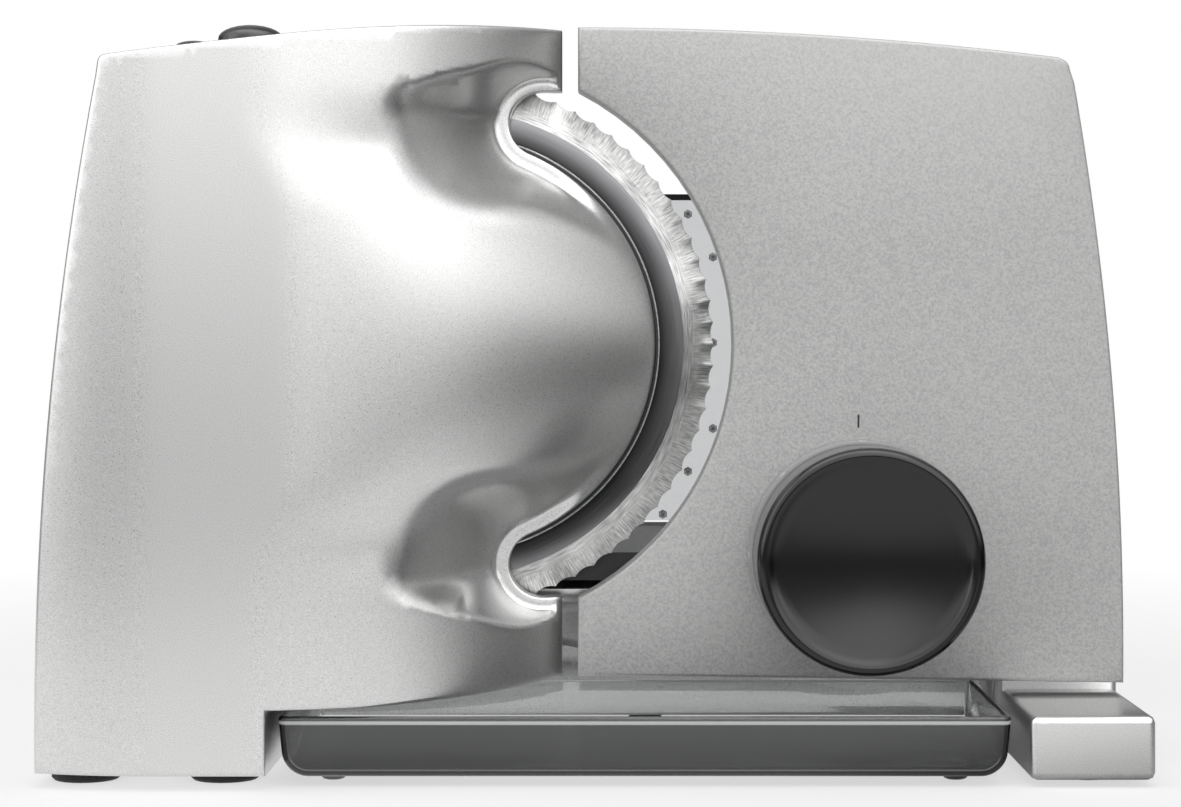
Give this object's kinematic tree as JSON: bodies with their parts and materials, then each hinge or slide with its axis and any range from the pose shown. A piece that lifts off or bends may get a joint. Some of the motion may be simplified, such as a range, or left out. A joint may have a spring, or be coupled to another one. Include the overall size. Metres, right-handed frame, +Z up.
{
  "type": "electric food slicer",
  "caption": "Domestic electric food slicer: toothed round blade in a curved silver housing, sliding stop plate with thickness knob, food carriage with pusher, and a clear slice tray.",
  "frame": {"origin": "on the table, under the middle of the machine's bounding box", "axes": "+Z up; -Y towards the slice side with the tray, the side that the picture shows; +X from the motor housing to the thickness knob"},
  "size_m": [0.336, 0.225, 0.233],
  "materials": {
    "silver_paint": "satin metallic paint on a light-metal casting",
    "textured_paint": "fine orange-peel metallic paint",
    "blade_steel": "ground",
    "steel": "turned",
    "zinc": "die-cast",
    "bronze": "sintered",
    "ferrite": "matt",
    "black_plastic": "satin",
    "dark_plastic": "satin",
    "grey_plastic": "satin",
    "nylon": "moulded",
    "smoke_clear": "clear smoke-grey plastic",
    "rubber": "matt"
  },
  "bodies": {
    "base": {"base_casting": "silver_paint", "front_housing": "silver_paint", "rear_cover": "silver_paint", "gear_frame": "zinc", "motor_can": "steel", "motor_end_cap": "dark_plastic", "magnet_left": "ferrite", "magnet_right": "ferrite", "worm_bearing": "bronze", "pinion_bush": "bronze", "blade_axle": "steel", "switch_body": "dark_plastic", "slide_rail": "steel", "cam_post": "steel", "guide_bush_left": "nylon", "guide_bush_right": "nylon", "cord_gland": "rubber", "housing_foot_1": "rubber", "housing_foot_2": "rubber", "rear_foot_1": "rubber", "rear_foot_2": "rubber", "block_foot": "rubber", "bridge_foot": "rubber", "cover_screw_1": "steel", "cover_screw_2": "steel", "base_screw_1": "steel", "base_screw_2": "steel", "frame_screw_1": "steel", "frame_screw_2": "steel", "frame_screw_3": "steel"},
    "rotor": {"motor_shaft": "steel", "armature": "steel", "commutator": "bronze", "cooling_fan": "dark_plastic"},
    "wheel": {"worm_wheel": "nylon", "pinion_shaft": "steel"},
    "blade": {"blade_disc": "blade_steel", "blade_gear": "nylon", "blade_hub": "bronze"},
    "blade_lock": {"blade_lock": "black_plastic"},
    "stop_plate": {"stop_plate": "textured_paint", "stop_plate_facing": "blade_steel", "guide_rod_left": "steel", "guide_rod_right": "steel", "knob_axle": "steel"},
    "knob": {"thickness_knob": "black_plastic", "scale_ring": "grey_plastic", "knob_cam": "nylon"},
    "tray": {"slice_tray": "smoke_clear"},
    "carriage": {"food_carriage": "dark_plastic", "carriage_runner": "nylon"},
    "pusher": {"pusher_plate": "smoke_clear", "pusher_bracket": "dark_plastic"},
    "power_button": {"power_button": "black_plastic", "power_spring": "steel"},
    "lock_button": {"lock_button": "black_plastic", "lock_spring": "steel"}
  },
  "joints": [
    {"name": "motor_spin", "type": "hinge", "parent": "base", "child": "rotor", "pos_m": [-0.107, -0.082, 0.1326], "axis": [0, 0, 1], "continuous": true},
    {"name": "wheel_spin", "type": "hinge", "parent": "base", "child": "wheel", "pos_m": [-0.0823, -0.082, 0.1326], "axis": [0, 1, 0], "continuous": true},
    {"name": "blade_spin", "type": "hinge", "parent": "base", "child": "blade", "pos_m": [-0.0473, -0.0477, 0.1326], "axis": [0, 1, 0], "continuous": true},
    {"name": "blade_lock_turn", "type": "hinge", "parent": "blade", "child": "blade_lock", "pos_m": [-0.0473, -0.0445, 0.1326], "axis": [0, 1, 0], "range_deg": [0, 90]},
    {"name": "thickness_turn", "type": "hinge", "parent": "stop_plate", "child": "knob", "pos_m": [0.0834, -0.08, 0.0667], "axis": [0, 1, 0], "range_deg": [0, 330]},
    {"name": "stop_plate_slide", "type": "slide", "parent": "base", "child": "stop_plate", "axis": [0, -1, 0], "range_m": [0, 0.02]},
    {"name": "tray_slide", "type": "slide", "parent": "base", "child": "tray", "axis": [0, -1, 0], "range_m": [0, 0.12]},
    {"name": "carriage_slide", "type": "slide", "parent": "base", "child": "carriage", "axis": [1, 0, 0], "range_m": [-0.105, 0.05]},
    {"name": "pusher_slide", "type": "slide", "parent": "carriage", "child": "pusher", "axis": [0, -1, 0], "range_m": [0, 0.125]},
    {"name": "power_press", "type": "slide", "parent": "base", "child": "power_button", "axis": [0, 0, -1], "range_m": [0, 0.0035], "stiffness_N_per_m": 300, "springref_m": -0.002, "deforming": ["power_spring"]},
    {"name": "lock_press", "type": "slide", "parent": "base", "child": "lock_button", "axis": [0, 0, -1], "range_m": [0, 0.002], "stiffness_N_per_m": 300, "springref_m": -0.002, "deforming": ["lock_spring"]}
  ],
  "couplings": [
    {"joint": "wheel_spin", "follows": "motor_spin", "ratio": -0.083333},
    {"joint": "blade_spin", "follows": "motor_spin", "ratio": 0.020833},
    {"joint": "thickness_turn", "follows": "stop_plate_slide", "rad_per_m": 287.97}
  ]
}
